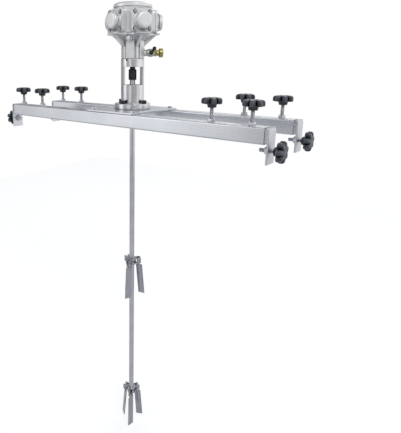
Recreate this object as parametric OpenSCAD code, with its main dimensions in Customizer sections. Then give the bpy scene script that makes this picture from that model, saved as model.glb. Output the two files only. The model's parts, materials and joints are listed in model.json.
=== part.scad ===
// Tank agitator: a five-cylinder air motor on a clamp-on crossbeam of two square tubes,
// turning a long shaft with two folding impellers.
// X runs along the beams, +Z is up. The origin lies on the shaft's axis, level with the
// underside of the beams, which is what rests on the tank's top rails.
// Millimetres.

/* [Crossbeam] */
// Outer side of each square beam tube
tube_side = 40; // [38:1:46]
// Wall of the beam tubes
tube_wall = 2; // [1.5:0.25:3]
// Outer corner radius of the beam tubes
tube_corner = 4; // [3.5:0.5:6]
// Length of each beam tube
beam_length = 970; // [900:10:1100]
// Distance between the beams' centre lines
beam_spacing = 190; // [185:5:240]

/* [End arms] */
// Gap between an arm and the inside of its beam, on each side
arm_clearance = 0.5; // [0.3:0.1:0.8]
// Wall of the arm tubes
arm_wall = 2; // [1.5:0.25:3]
// Outer corner radius of the arm tubes
arm_corner = 3; // [3:0.5:5]
// Length of arm inside its beam
arm_inside = 260; // [220:10:300]
// Length of arm that stands out of its beam
arm_reach = 7; // [7:1:30]
// How far an arm can be pushed further into its beam
arm_retract = 3; // [1:0.5:3]
// Thickness of the bent end plates
end_plate_t = 5; // [4:0.5:6]
// How far the end plates hang below the beams
end_plate_drop = 46; // [40:2:60]
// Outer radius of the bend at an end plate's top
end_plate_bend = 7; // [7:0.5:8]

/* [Knob screws] */
// Diameter of the screws' studs
stud_d = 10; // [8:1:12]
// Gap between a stud and its thread, all round
thread_clearance = 0.08; // [0.05:0.01:0.1]
// Width across flats of the weld nuts
nut_flats = 17; // [16:1:19]
// Height of the weld nuts
nut_h = 9; // [7:0.5:11]
// Length of stud showing above a beam's weld nut
lock_stud_show = 27; // [20:1:40]
// Gap between a lock screw's tip and the arm below it
lock_tip_gap = 0.3; // [0.2:0.1:1]
// Distance from a beam's end to its outer lock screw
lock_edge = 39; // [20:1:50]
// Distance between the two lock screws at a beam's end
lock_pitch = 108; // [92:4:128]
// Distance from a beam's underside down to its clamp screws
clamp_drop = 15; // [13:1:20]
// Length of clamp stud showing inside the weld nut
clamp_point = 14; // [10:1:30]
// Gap between an end plate and its clamp knob's hub
clamp_knob_gap = 8; // [7:1:14]
// Diameter of the star knobs
knob_d = 55; // [50:1:64]
// Thickness of the knobs' lobed head
knob_head_t = 16; // [14:1:22]
// Number of lobes on a knob
knob_lobes = 7; // [5:1:8]
// Diameter of a knob's hub
knob_hub_d = 25; // [22:1:30]
// Height of a knob's hub
knob_hub_h = 9; // [6:1:14]

/* [Mounting plate] */
// Length of the plate along the beams
plate_x = 190; // [175:5:240]
// Thickness of the plate
plate_t = 5; // [4:1:8]
// Diameter of the bolts that hold the plate
plate_bolt_d = 8; // [6:1:10]
// Distance between plate bolts along the beams
plate_bolt_pitch = 160; // [145:5:165]
// Clear hole through the plate for the shaft
plate_hole_d = 34; // [30:2:42]

/* [Coupling housing] */
// Width of the base flange outside its screws' circle
flange_rim = 10; // [9:0.5:12]
// Thickness of the base flange
flange_t = 18; // [14:1:22]
// Outer diameter of the housing
housing_d = 73; // [71:0.5:74]
// Wall of the housing
housing_wall = 7.5; // [6:0.5:8.5]
// Height of the housing above its flange
housing_h = 137; // [125:1:150]
// Width of the two windows
window_w = 47; // [38:1:50]
// Height of the windows
window_h = 55; // [50:1:62]
// Height of the ring above the windows
top_ring_h = 25; // [20:1:28]
// Direction that the windows face
window_turn = -50; // [-90:1:90]
// Gap between the housing and the heads of its base screws
base_screw_gap = 2.5; // [1.5:0.5:4]
// Diameter of the base screws
base_screw_d = 10; // [8:1:10]

/* [Shaft and coupling] */
// Diameter of the agitator shaft
shaft_d = 17; // [16:1:19]
// Length of the agitator shaft below the beams
shaft_drop = 1030; // [800:2:1200]
// Diameter of the motor shaft's end
motor_shaft_d = 12; // [10:1:13]
// Outer diameter of the coupling sleeve
coupling_d = 25; // [24:1:29]
// Length of the wide part of the sleeve
coupling_wide_h = 33; // [28:1:36]
// Length of the narrow part of the sleeve
coupling_narrow_h = 8; // [6:1:12]
// Gap between parts that are fixed to each other on a round seat
seat_gap = 0.03; // [0.02:0.01:0.05]
// Gap between parts that turn in each other
running_gap = 0.06; // [0.04:0.01:0.08]

/* [Impellers] */
// Depth of the upper impeller's hub below the beams
upper_hub_drop = 476; // [400:2:600]
// Height of a hub's collar
hub_h = 24; // [20:1:30]
// Wall of a hub's collar
hub_wall = 6; // [5:0.5:7]
// Length of a blade
blade_l = 112; // [80:2:130]
// Width of a blade
blade_w = 24; // [20:1:26]
// Thickness of a blade
blade_t = 3; // [2:0.5:3]
// Angle between a blade's chord and the hub's arm
blade_pitch = 40; // [30:1:50]
// Outward lean of a folded blade
blade_lean = 5; // [4:1:10]
// Radius of the hinge pins' circle
hinge_r = 25; // [23:0.5:28]
// Diameter of the hinge pins
hinge_pin_d = 5; // [4:0.5:6]

/* [Motor] */
// Direction of the first cylinder
motor_turn = -26.5; // [-60:0.5:60]
// Height of the ribbed neck
neck_h = 50; // [46:1:60]
// Width of the neck between opposite panels
neck_d = 70; // [68:1:72]
// Height of the flared top of the neck
flare_h = 25; // [23:1:30]
// Radius of the flare's rim
flare_r = 84; // [82:1:87]
// Height of the crankcase
crankcase_h = 74; // [72:1:80]
// Diameter of the crankcase
crankcase_d = 116; // [114:1:118]
// Side of the square cylinder flanges
cylinder_flange = 66; // [64:1:68]
// Distance from the shaft's axis to the flanges' faces
flange_face_r = 65; // [64:0.5:67]
// Thickness of a cylinder cover's flange
cover_flange_t = 6.5; // [6:0.5:9]
// Diameter of a cylinder cover's boss
cover_boss_d = 48; // [46:1:52]
// Height of a cylinder cover's boss
cover_boss_h = 19; // [16:1:24]
// Bore of the cylinders
cylinder_bore = 42; // [38:1:44]
// Half of the pistons' stroke
crank_throw = 9; // [6:0.5:10]
// Height of the top cover
top_cover_h = 15; // [14:1:24]

/* [Air valve] */
// Height of the valve above the neck's foot
valve_z = 18; // [14:1:24]
// Diameter of the ball valve's body
valve_d = 25; // [24:1:28]
// Length of the ball valve's body
valve_l = 25; // [25:1:30]
// Length of the brass plug
plug_l = 26; // [24:1:32]
// Diameter of the brass plug's collar
plug_collar_d = 28; // [26:1:32]
// Bore of the brass plug
plug_bore_d = 10; // [9:0.5:12]

/* [Hidden] */
$fn = 64;
eps = 0.5;

steel = [0.74, 0.75, 0.77];
bright_steel = [0.82, 0.82, 0.84];
cast_aluminium = [0.80, 0.81, 0.83];
machined_aluminium = [0.87, 0.87, 0.88];
black_steel = [0.10, 0.10, 0.11];
knob_black = [0.09, 0.10, 0.12];
brass = [0.72, 0.62, 0.25];

// Crossbeam and arms
beam_y = beam_spacing / 2;
beam_end = beam_length / 2;
lock_x = [beam_end - lock_edge - lock_pitch, beam_end - lock_edge];
// Every lock screw as [end along X, side along Y, index into lock_x]
lock_places = [for (y = [-1, 1], x = [-1, 1], i = [0, 1]) [x, y, i]];
// Every arm, and the clamp screw on it, as [end along X, side along Y]
arm_places = [for (y = [-1, 1], x = [-1, 1]) [x, y]];
arm_side = tube_side - 2 * (tube_wall + arm_clearance);
arm_top = tube_side / 2 + arm_side / 2;
plate_inner_x = beam_end + arm_reach;
thread_r = stud_d / 2 + thread_clearance;
lip_gap = 1;
bend_lip = min(end_plate_bend + 2, end_plate_t + arm_reach - arm_retract - lip_gap);

// Knob screws: a stud ends short of its socket's floor
stud_socket = 20;
socket_play = 0.3;
lock_tip_z = arm_top + lock_tip_gap;
lock_knob_z = tube_side + nut_h + lock_stud_show;
lock_stud_l = lock_knob_z - lock_tip_z + stud_socket - socket_play;
clamp_tip_x = plate_inner_x - nut_h - clamp_point;
clamp_knob_x = plate_inner_x + end_plate_t + clamp_knob_gap;
clamp_stud_l = clamp_knob_x - clamp_tip_x + stud_socket - socket_play;

// Heights of the stack on the mounting plate
plate_y = beam_spacing + tube_side;
plate_top = tube_side + plate_t;
flange_top = plate_top + flange_t;
housing_top = flange_top + housing_h;
window_top = housing_top - top_ring_h;
window_bottom = window_top - window_h;
housing_bore_r = housing_d / 2 - housing_wall;
base_pcd = housing_d + 2 * (base_screw_gap + base_screw_d * 0.8);
flange_d = base_pcd + 2 * flange_rim;
neck_top = housing_top + neck_h;
crankcase_floor = neck_top + flare_h;
crankcase_top = crankcase_floor + crankcase_h;
cylinder_z = crankcase_floor + cylinder_flange / 2 + 0.5;
cylinders = 5;
cylinder_step = 360 / cylinders;
spigot_h = 8;
set_screw_z = housing_top - spigot_h / 2;
set_screw_r = 3;
set_screw_turns = [window_turn - 30, window_turn + 90, window_turn - 150];
cover_screw_d = 6;
cover_screw_off = cylinder_flange / 2 - 9;
top_screw_d = 5;
top_screw_r = crankcase_d / 2 - 11;
plug_turn = motor_turn - cylinder_step / 2;
plug_z = neck_top + 10;
plug_boss_r = neck_d / 2 + 18;

// Bearings of the crankshaft
bearing_r = 21;
bearing_t = 12;
journal_r = 10;
bearing_seat_r = bearing_r + seat_gap;
lower_bearing_z = housing_top + 4;
upper_bearing_z = crankcase_floor - bearing_t - 4;
crank_cavity_r = 31;
crankpin_r = 11;
crankpin_h = 24;
web_t = 7;

// Coupling
coupling_bottom = window_bottom + 15;
coupling_step = coupling_bottom + coupling_wide_h;
coupling_top = coupling_step + coupling_narrow_h;
coupling_joint = coupling_bottom + coupling_wide_h / 2;
coupling_turn = window_turn - 8;
coupling_screw_z = [coupling_bottom + 8, coupling_step - 8];
coupling_screw_r = 2.5;

// Impellers
shaft_r = shaft_d / 2;
shaft_bottom = -shaft_drop;
hub_r = shaft_r + hub_wall;
upper_hub_z = -upper_hub_drop;
lower_hub_z = shaft_bottom + hub_h - 2;
blade_count = 3;
blade_step = 360 / blade_count;
ear_t = 3;
ear_leg_r = 5.5;
ear_outer_r = hinge_r + ear_leg_r + 1;
knuckle_w = 10;
knuckle_gap = 0.3;
heel_h = 4;
heel_l = hinge_r - hub_r - knuckle_gap;
ear_gap = knuckle_w / 2 + knuckle_gap;
hinge_drop = hub_h - ear_leg_r;
hub_screw_r = 3;
upper_turn = -71;
lower_turn = -54;
// [height of the hub's top face, direction of its first blade]
hub_places = [[upper_hub_z, upper_turn], [lower_hub_z, lower_turn]];

// Valve
valve_turn = motor_turn + cylinder_step;
valve_r0 = neck_d / 2 + 9;
valve_height = housing_top + valve_z;
pipe_r = 6.5;
pipe_bore_r = 4;
pipe_in = 6;
ball_r = 7.5;
stem_r = 3;
socket_r = 8.2;
lever_t = 3.4;
lever_l = 16;
lever_lift = 144;
plug_bore_l = 19;

// ---- shared shapes ----

module rounded_rect(w, h, r) {
    square([w - 2 * r, h], center = true);
    square([w, h - 2 * r], center = true);
    for (x = [-1, 1], y = [-1, 1])
        translate([x * (w / 2 - r), y * (h / 2 - r)]) circle(r);
}

module square_tube(side, wall, corner, length) {
    rotate([90, 0, 90]) linear_extrude(length) difference() {
        rounded_rect(side, side, corner);
        rounded_rect(side - 2 * wall, side - 2 * wall, corner - wall);
    }
}

module chamfered_rod(r, length, chamfer) {
    translate([0, 0, chamfer]) cylinder(r = r, h = length - 2 * chamfer);
    cylinder(r1 = r - chamfer, r2 = r, h = chamfer);
    translate([0, 0, length - chamfer]) cylinder(r1 = r, r2 = r - chamfer, h = chamfer);
}

// Hexagon with its corners turned off, standing on z = 0
module hexagon(flats, h, crown = 1.2) {
    corner_r = flats / sqrt(3);
    intersection() {
        cylinder(r = corner_r, h = h, $fn = 6);
        union() {
            cylinder(r = corner_r + 0.1, h = h - crown);
            translate([0, 0, h - crown])
                cylinder(r1 = corner_r + 0.1, r2 = corner_r - 1.6, h = crown);
        }
    }
}

module hex_nut(flats, h, bore_r) {
    difference() {
        hexagon(flats, h);
        translate([0, 0, -eps]) cylinder(r = bore_r, h = h + 2 * eps);
    }
}

// Socket-head screw: its head stands on z = 0 and the shank goes down
module socket_screw(d, length) {
    difference() {
        union() {
            cylinder(r = d * 0.8, h = d - 0.8);
            translate([0, 0, d - 0.8]) cylinder(r1 = d * 0.8, r2 = d * 0.8 - 0.8, h = 0.8);
            translate([0, 0, -length]) cylinder(r = d / 2, h = length);
        }
        translate([0, 0, d * 0.45]) cylinder(r = d * 0.46, h = d, $fn = 6);
    }
}

// Grub screw on z = 0 with its hexagon socket at the outer end
module set_screw(length, r) {
    difference() {
        cylinder(r = r, h = length);
        translate([0, 0, length - r * 0.8]) cylinder(r = r * 0.55, h = r, $fn = 6);
    }
}

// Lays a shape that was made along +Z out along a level direction
module outward(angle, r, z) {
    rotate([0, 0, angle]) translate([r, 0, z]) rotate([0, 90, 0]) children();
}

// ---- crossbeam ----

module beam(side_y) {
    difference() {
        translate([-beam_end, side_y * beam_y, tube_side / 2])
            square_tube(tube_side, tube_wall, tube_corner, beam_length);
        for (x = [-1, 1], i = [0, 1])
            translate([x * lock_x[i], side_y * beam_y, tube_side - tube_wall - eps])
                cylinder(r = stud_d / 2 + 1, h = tube_wall + 2 * eps);
        for (x = [-1, 1])
            translate([x * plate_bolt_pitch / 2, side_y * beam_y, tube_side - tube_wall - eps])
                cylinder(r = plate_bolt_d / 2 + 0.5, h = tube_wall + 2 * eps);
    }
}

module front_beam() {
    color(steel) beam(-1);
}

module rear_beam() {
    color(steel) beam(1);
}

module weld_nuts() {
    color(steel) for (p = lock_places)
        translate([p[0] * lock_x[p[2]], p[1] * beam_y, tube_side])
            hex_nut(nut_flats, nut_h, thread_r);
}

module mounting_plate() {
    color(steel) difference() {
        translate([0, 0, tube_side]) linear_extrude(plate_t)
            rounded_rect(plate_x, plate_y, 5);
        translate([0, 0, tube_side - eps]) cylinder(d = plate_hole_d, h = plate_t + 2 * eps);
        for (x = [-1, 1], y = [-1, 1])
            translate([x * plate_bolt_pitch / 2, y * beam_y, tube_side - eps])
                cylinder(r = plate_bolt_d / 2 + 0.5, h = plate_t + 2 * eps);
        for (a = [0:90:270]) rotate([0, 0, a]) translate([base_pcd / 2, 0, tube_side - eps])
            cylinder(r = base_screw_d / 2 + seat_gap, h = plate_t + 2 * eps);
    }
}

// Hexagon bolts through the plate and the beams' top walls, with nuts inside the beams
module plate_bolts() {
    bolt_flats = plate_bolt_d * 1.625;
    bolt_nut_h = plate_bolt_d * 0.8;
    color(black_steel) for (x = [-1, 1], y = [-1, 1])
        translate([x * plate_bolt_pitch / 2, y * beam_y, 0]) {
            translate([0, 0, plate_top]) hexagon(bolt_flats, plate_bolt_d * 0.66);
            translate([0, 0, tube_side - tube_wall - bolt_nut_h - 2])
                cylinder(d = plate_bolt_d, h = plate_t + tube_wall + bolt_nut_h + 2);
            translate([0, 0, tube_side - tube_wall - bolt_nut_h])
                hex_nut(bolt_flats, bolt_nut_h, plate_bolt_d / 2 + seat_gap);
        }
}

// ---- end arms ----

// Side view of the bent end plate: x outward, y up
module end_plate_outline() {
    plate_h = tube_side + end_plate_drop;
    difference() {
        union() {
            translate([0, -end_plate_drop]) square([end_plate_t, plate_h - end_plate_bend]);
            translate([end_plate_t - end_plate_bend, tube_side - end_plate_bend])
                intersection() {
                    circle(end_plate_bend);
                    square(end_plate_bend);
                }
            if (bend_lip > end_plate_bend) translate([end_plate_t - bend_lip, tube_side - end_plate_t])
                square([bend_lip - end_plate_bend, end_plate_t]);
        }
        translate([end_plate_t - end_plate_bend, tube_side - end_plate_bend]) intersection() {
            circle(end_plate_bend - end_plate_t);
            square(end_plate_bend);
        }
    }
}

// One arm with its end plate and weld nut, made for the right-hand end
module arm_weldment() {
    difference() {
        union() {
            translate([beam_end - arm_inside, 0, tube_side / 2])
                square_tube(arm_side, arm_wall, arm_corner, arm_inside + arm_reach + 1);
            translate([plate_inner_x, tube_side / 2, 0]) rotate([90, 0, 0])
                linear_extrude(tube_side) end_plate_outline();
            translate([plate_inner_x, 0, -clamp_drop]) rotate([0, -90, 0])
                hexagon(nut_flats, nut_h);
        }
        translate([plate_inner_x - nut_h - eps, 0, -clamp_drop]) rotate([0, 90, 0])
            cylinder(r = thread_r, h = nut_h + end_plate_t + 2 * eps);
    }
}

module arm(place) {
    color(steel) translate([0, place[1] * beam_y, 0])
        mirror([place[0] < 0 ? 1 : 0, 0, 0]) arm_weldment();
}

// ---- knob screws ----

// Stud along +Z from its tip at z = 0
module stud(length) {
    color(bright_steel) chamfered_rod(stud_d / 2, length, 1);
}

// Lobed head and hub on z = 0, with a socket for the stud's end
module star_knob(socket_depth) {
    lobe_r = knob_d / 2 * sin(180 / knob_lobes) * 0.72;
    lobe_centre = knob_d / 2 - lobe_r;
    edge = 3;
    color(knob_black) difference() {
        union() {
            cylinder(d1 = knob_hub_d - 3, d2 = knob_hub_d, h = knob_hub_h + 1);
            translate([0, 0, knob_hub_h]) intersection() {
                linear_extrude(knob_head_t) {
                    circle(lobe_centre - lobe_r * 0.1);
                    for (i = [0:knob_lobes - 1]) rotate(i * 360 / knob_lobes)
                        translate([lobe_centre, 0]) circle(lobe_r);
                }
                rotate_extrude() polygon([
                    [0, 0], [knob_d / 2 - 1.5, 0], [knob_d / 2 + 0.1, 2],
                    [knob_d / 2 + 0.1, knob_head_t - edge - 2], [knob_d / 2 - edge, knob_head_t - 1.6],
                    [knob_d / 4, knob_head_t], [0, knob_head_t]
                ]);
            }
        }
        translate([0, 0, -eps]) cylinder(r = stud_d / 2 + seat_gap, h = socket_depth + eps);
    }
}

module lock_stud(i) {
    p = lock_places[i - 1];
    translate([p[0] * lock_x[p[2]], p[1] * beam_y, lock_tip_z]) stud(lock_stud_l);
}

module lock_knob(i) {
    p = lock_places[i - 1];
    translate([p[0] * lock_x[p[2]], p[1] * beam_y, lock_knob_z])
        rotate([0, 0, 17 + 29 * i]) star_knob(stud_socket);
}

module clamp_stud(i) {
    p = arm_places[i - 1];
    translate([p[0] * clamp_tip_x, p[1] * beam_y, -clamp_drop])
        rotate([0, 90 * p[0], 0]) stud(clamp_stud_l);
}

module clamp_knob(i) {
    p = arm_places[i - 1];
    translate([p[0] * clamp_knob_x, p[1] * beam_y, -clamp_drop])
        rotate([0, 90 * p[0], 0]) rotate([0, 0, 12 + 23 * i]) star_knob(stud_socket);
}

// ---- coupling housing ----

module coupling_housing() {
    r = housing_d / 2;
    color(machined_aluminium) difference() {
        translate([0, 0, plate_top]) rotate_extrude($fn = 96) polygon([
            [plate_hole_d / 2, 0], [flange_d / 2 - 1, 0], [flange_d / 2, 1],
            [flange_d / 2, flange_t - 2], [flange_d / 2 - 2, flange_t],
            [r + 2, flange_t], [r, flange_t + 2], [r, flange_t + housing_h - 1],
            [r - 1, flange_t + housing_h], [housing_bore_r, flange_t + housing_h],
            [housing_bore_r, flange_t], [plate_hole_d / 2, flange_t - 6]
        ]);
        rotate([0, 0, window_turn])
            translate([-housing_d, -window_w / 2, window_bottom])
                cube([2 * housing_d, window_w, window_h]);
        for (a = [0:90:270]) rotate([0, 0, a]) translate([base_pcd / 2, 0, plate_top - eps])
            cylinder(r = base_screw_d / 2 + seat_gap, h = flange_t + 2 * eps);
        for (a = set_screw_turns)
            outward(a, housing_bore_r - 1, set_screw_z)
                cylinder(r = set_screw_r + seat_gap, h = housing_wall + 3);
    }
}

// Four socket-head screws in the base flange and three grub screws in the top ring
module housing_screws() {
    color(black_steel) {
        for (a = [0:90:270]) rotate([0, 0, a]) translate([base_pcd / 2, 0, flange_top])
            socket_screw(base_screw_d, flange_t + plate_t - 1);
        for (a = set_screw_turns)
            outward(a, housing_bore_r + seat_gap, set_screw_z)
                set_screw(housing_wall - 1.5, set_screw_r);
    }
}

// ---- motor ----

// Plan of the neck: a round core with a rounded rib under each cylinder
// and a broad flat panel between two ribs
module neck_outline() {
    circle(neck_d / 2 - 5, $fn = 96);
    for (i = [0:cylinders - 1]) {
        rotate(motor_turn + i * cylinder_step)
            translate([neck_d / 2 - 5, 0]) circle(6.5);
        rotate(motor_turn + (i + 0.5) * cylinder_step)
            translate([0, -13]) square([neck_d / 2, 26]);
    }
}

module flare_profile() {
    neck_r = neck_d / 2;
    polygon([
        [bearing_seat_r, 0], [neck_r - 2, 0], [neck_r, 3], [neck_r + 8, flare_h * 0.42],
        [neck_r + 24, flare_h * 0.7], [flare_r - 6, flare_h * 0.82], [flare_r, flare_h * 0.88],
        [flare_r, flare_h - 1], [flare_r - 1, flare_h], [bearing_seat_r, flare_h]
    ]);
}

// Cast neck: spigot, ribbed column and a five-lobed flare that carries the crankcase
module motor_neck() {
    notch_r = 30;
    web_t = 9;
    color(cast_aluminium) difference() {
        union() {
            translate([0, 0, housing_top]) linear_extrude(neck_h + 4) neck_outline();
            translate([0, 0, housing_top - spigot_h])
                cylinder(r = housing_bore_r - seat_gap, h = spigot_h + 1);
            difference() {
                translate([0, 0, neck_top]) rotate_extrude($fn = 96) flare_profile();
                for (i = [0:cylinders - 1])
                    rotate([0, 0, motor_turn + (i + 0.5) * cylinder_step])
                        translate([flare_r + 6, 0, neck_top - eps])
                            cylinder(r = notch_r, h = flare_h + 2 * eps);
            }
            for (i = [0:cylinders - 1]) rotate([0, 0, motor_turn + i * cylinder_step])
                translate([0, web_t / 2, 0]) rotate([90, 0, 0]) linear_extrude(web_t)
                    polygon([
                        [neck_d / 2 - 6, neck_top - 14], [neck_d / 2, neck_top - 14],
                        [flare_r - 12, crankcase_floor - 6], [neck_d / 2 - 6, crankcase_floor - 6]
                    ]);
            outward(plug_turn, plug_boss_r - 26, plug_z) cylinder(r = 9, h = 26);
            outward(valve_turn, neck_d / 2 - 8, valve_height) cylinder(r = 10.5, h = 14);
        }
        translate([0, 0, lower_bearing_z])
            cylinder(r = bearing_seat_r, h = crankcase_floor - lower_bearing_z + eps);
        translate([0, 0, housing_top - spigot_h - eps]) cylinder(r = bearing_r - 5, h = 20);
        outward(valve_turn, bearing_r, valve_height) cylinder(r = pipe_r + seat_gap, h = valve_r0 - bearing_r);
        outward(plug_turn, bearing_r + 8, plug_z)
            cylinder(r = 4 + seat_gap, h = plug_boss_r - bearing_r);
        outward(plug_turn, plug_boss_r, plug_z) cylinder(r = 9, h = flare_r - plug_boss_r);
    }
}

// Hexagon plug in the boss at the head of the front panel
module neck_plug() {
    color(bright_steel) outward(plug_turn, plug_boss_r, plug_z) {
        translate([0, 0, -9]) cylinder(r = 4, h = 9.1);
        cylinder(r = 7.5, h = 1.2);
        translate([0, 0, 1.2]) hexagon(11, 4.8);
    }
}

module crankcase() {
    core_r = crankcase_d / 2;
    column_w = 27;
    color(cast_aluminium) difference() {
        union() {
            translate([0, 0, crankcase_floor]) cylinder(r = core_r - 3, h = crankcase_h, $fn = 96);
            translate([0, 0, crankcase_top - 6]) cylinder(r = core_r, h = 6, $fn = 96);
            for (i = [0:cylinders - 1]) {
                rotate([0, 0, motor_turn + (i + 0.5) * cylinder_step])
                    translate([core_r - 20, -column_w / 2, crankcase_floor])
                        cube([24, column_w, crankcase_h - 3]);
                outward(motor_turn + i * cylinder_step, core_r - 24, cylinder_z)
                    linear_extrude(flange_face_r - core_r + 24)
                        rounded_rect(cylinder_flange, cylinder_flange, 9);
            }
        }
        translate([0, 0, crankcase_floor - eps])
            cylinder(r = crank_cavity_r, h = crankcase_h + 2 * eps);
        for (i = [0:cylinders - 1]) rotate([0, 0, motor_turn + i * cylinder_step]) {
            translate([0, 0, cylinder_z]) rotate([0, 90, 0])
                cylinder(d = cylinder_bore, h = flange_face_r + eps);
            for (y = [-1, 1], z = [-1, 1])
                translate([flange_face_r - 12, y * cover_screw_off, cylinder_z + z * cover_screw_off])
                    rotate([0, 90, 0]) cylinder(r = cover_screw_d / 2 + seat_gap, h = 12 + eps);
        }
        for (i = [0:cylinders - 1]) rotate([0, 0, motor_turn + (i + 0.5) * cylinder_step])
            translate([top_screw_r, 0, crankcase_top - 12])
                cylinder(r = top_screw_d / 2 + seat_gap, h = 12 + eps);
    }
}

// Five round-bossed covers, one on each cylinder flange
module cylinder_covers() {
    boss_r = cover_boss_d / 2;
    color(cast_aluminium) for (i = [0:cylinders - 1])
        outward(motor_turn + i * cylinder_step, flange_face_r, cylinder_z) difference() {
            union() {
                linear_extrude(cover_flange_t) rounded_rect(cylinder_flange, cylinder_flange, 9);
                rotate_extrude() polygon([
                    [0, 1], [boss_r + 5, 1], [boss_r + 5, cover_flange_t + 2],
                    [boss_r + 1, cover_flange_t + 4], [boss_r + 1, cover_flange_t + 6],
                    [boss_r - 2, cover_flange_t + 6], [boss_r - 2, cover_flange_t + 8],
                    [boss_r + 1, cover_flange_t + 8], [boss_r + 1, cover_flange_t + 11],
                    [boss_r - 1, cover_flange_t + 12],
                    [boss_r, cover_flange_t + cover_boss_h - 5],
                    [boss_r - 1.2, cover_flange_t + cover_boss_h - 2],
                    [boss_r - 4, cover_flange_t + cover_boss_h - 0.4],
                    [boss_r - 8, cover_flange_t + cover_boss_h],
                    [0, cover_flange_t + cover_boss_h]
                ]);
            }
            translate([0, 0, -eps])
                cylinder(r = cylinder_bore / 2 - 4, h = cover_flange_t + cover_boss_h - 5 + eps);
            for (x = [-1, 1], y = [-1, 1])
                translate([x * cover_screw_off, y * cover_screw_off, -eps]) {
                    cylinder(r = cover_screw_d / 2 + seat_gap, h = cover_flange_t + 2 * eps);
                    translate([0, 0, cover_flange_t - 2]) cylinder(r = cover_screw_d, h = 12);
                }
        }
}

module top_cover() {
    r = crankcase_d / 2 + 1;
    color(cast_aluminium) difference() {
        translate([0, 0, crankcase_top]) rotate_extrude($fn = 96) polygon([
            [8.5 + running_gap, 0], [r, 0], [r, top_cover_h * 0.5], [r - 1, top_cover_h * 0.62],
            [r - 4, top_cover_h * 0.78], [r - 9, top_cover_h * 0.9], [r - 16, top_cover_h * 0.97],
            [r - 26, top_cover_h], [0, top_cover_h], [0, top_cover_h - 6],
            [8.5 + running_gap, top_cover_h - 6]
        ]);
        for (i = [0:cylinders - 1]) rotate([0, 0, motor_turn + (i + 0.5) * cylinder_step])
            translate([top_screw_r, 0, crankcase_top]) {
                translate([0, 0, -eps]) cylinder(r = top_screw_d / 2 + seat_gap, h = top_cover_h);
                translate([0, 0, top_cover_h * 0.55]) cylinder(r = top_screw_d, h = top_cover_h);
            }
    }
}

// Socket-head screws of the cylinder covers and of the top cover
module motor_screws() {
    color(steel) {
        for (i = [0:cylinders - 1], x = [-1, 1], y = [-1, 1])
            rotate([0, 0, motor_turn + i * cylinder_step])
                translate([flange_face_r + cover_flange_t - 2, x * cover_screw_off,
                           cylinder_z + y * cover_screw_off])
                    rotate([0, 90, 0]) socket_screw(cover_screw_d, cover_flange_t + 6);
        for (i = [0:cylinders - 1]) rotate([0, 0, motor_turn + (i + 0.5) * cylinder_step])
            translate([top_screw_r, 0, crankcase_top + top_cover_h * 0.55])
                socket_screw(top_screw_d, top_cover_h * 0.55 + 9);
    }
}

// Pistons with their rods and slippers, all at the outer end of the stroke
module pistons() {
    slipper_r = crank_throw + crankpin_r + 0.6;
    piston_h = 18;
    piston_r0 = flange_face_r - 0.4 - piston_h;
    color(bright_steel) for (i = [0:cylinders - 1])
        outward(motor_turn + i * cylinder_step, 0, cylinder_z) difference() {
            union() {
                translate([0, 0, slipper_r]) cylinder(r = 11, h = 3);
                translate([0, 0, slipper_r + 2]) cylinder(r = 6, h = piston_r0 - slipper_r);
                translate([0, 0, piston_r0])
                    cylinder(r = cylinder_bore / 2 - running_gap, h = piston_h);
            }
            translate([0, 0, piston_r0 + piston_h / 3]) difference() {
                cylinder(r = cylinder_bore / 2 + 1, h = 3);
                translate([0, 0, -eps]) cylinder(r = cylinder_bore / 2 - 2, h = 3 + 2 * eps);
            }
        }
}

module main_bearings() {
    color(bright_steel) for (z = [lower_bearing_z, upper_bearing_z])
        translate([0, 0, z]) rotate_extrude() polygon([
            [journal_r + running_gap, 0.6], [journal_r + running_gap + 0.6, 0], [journal_r + 3.4, 0],
            [journal_r + 3.4, 1.2], [bearing_r - 3.4, 1.2], [bearing_r - 3.4, 0],
            [bearing_r - 0.6, 0], [bearing_r, 0.6],
            [bearing_r, bearing_t - 0.6], [bearing_r - 0.6, bearing_t],
            [bearing_r - 3.4, bearing_t], [bearing_r - 3.4, bearing_t - 1.2],
            [journal_r + 3.4, bearing_t - 1.2], [journal_r + 3.4, bearing_t],
            [journal_r + running_gap + 0.6, bearing_t], [journal_r + running_gap, bearing_t - 0.6]
        ]);
}

// One-throw crankshaft whose lower end turns in the coupling
module crankshaft() {
    pin_bottom = cylinder_z - crankpin_h / 2;
    pin_top = cylinder_z + crankpin_h / 2;
    web_r = 21;
    color(bright_steel) {
        translate([0, 0, coupling_joint + 0.3])
            cylinder(d = motor_shaft_d, h = housing_top - spigot_h - coupling_joint);
        translate([0, 0, housing_top - spigot_h])
            cylinder(r = journal_r, h = pin_bottom - web_t - housing_top + spigot_h + 1);
        translate([0, 0, pin_bottom - web_t]) cylinder(r = web_r, h = web_t);
        rotate([0, 0, motor_turn]) translate([crank_throw, 0, pin_bottom - 1])
            cylinder(r = crankpin_r, h = crankpin_h + 2);
        translate([0, 0, pin_top]) cylinder(r = web_r, h = web_t);
        translate([0, 0, pin_top + web_t - 1])
            cylinder(r = 8.5, h = crankcase_top + top_cover_h - 8 - pin_top - web_t + 1);
    }
}

// ---- air valve ----

module valve_nipple() {
    start_r = bearing_r + 5;
    hex_r = neck_d / 2 + 6;
    color(steel) outward(valve_turn, start_r, valve_height) difference() {
        union() {
            cylinder(r = pipe_r, h = valve_r0 - start_r + pipe_in);
            translate([0, 0, hex_r - start_r]) hexagon(17, valve_r0 - hex_r);
        }
        translate([0, 0, -eps])
            cylinder(r = pipe_bore_r, h = valve_r0 - start_r + pipe_in + 2 * eps);
    }
}

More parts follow.
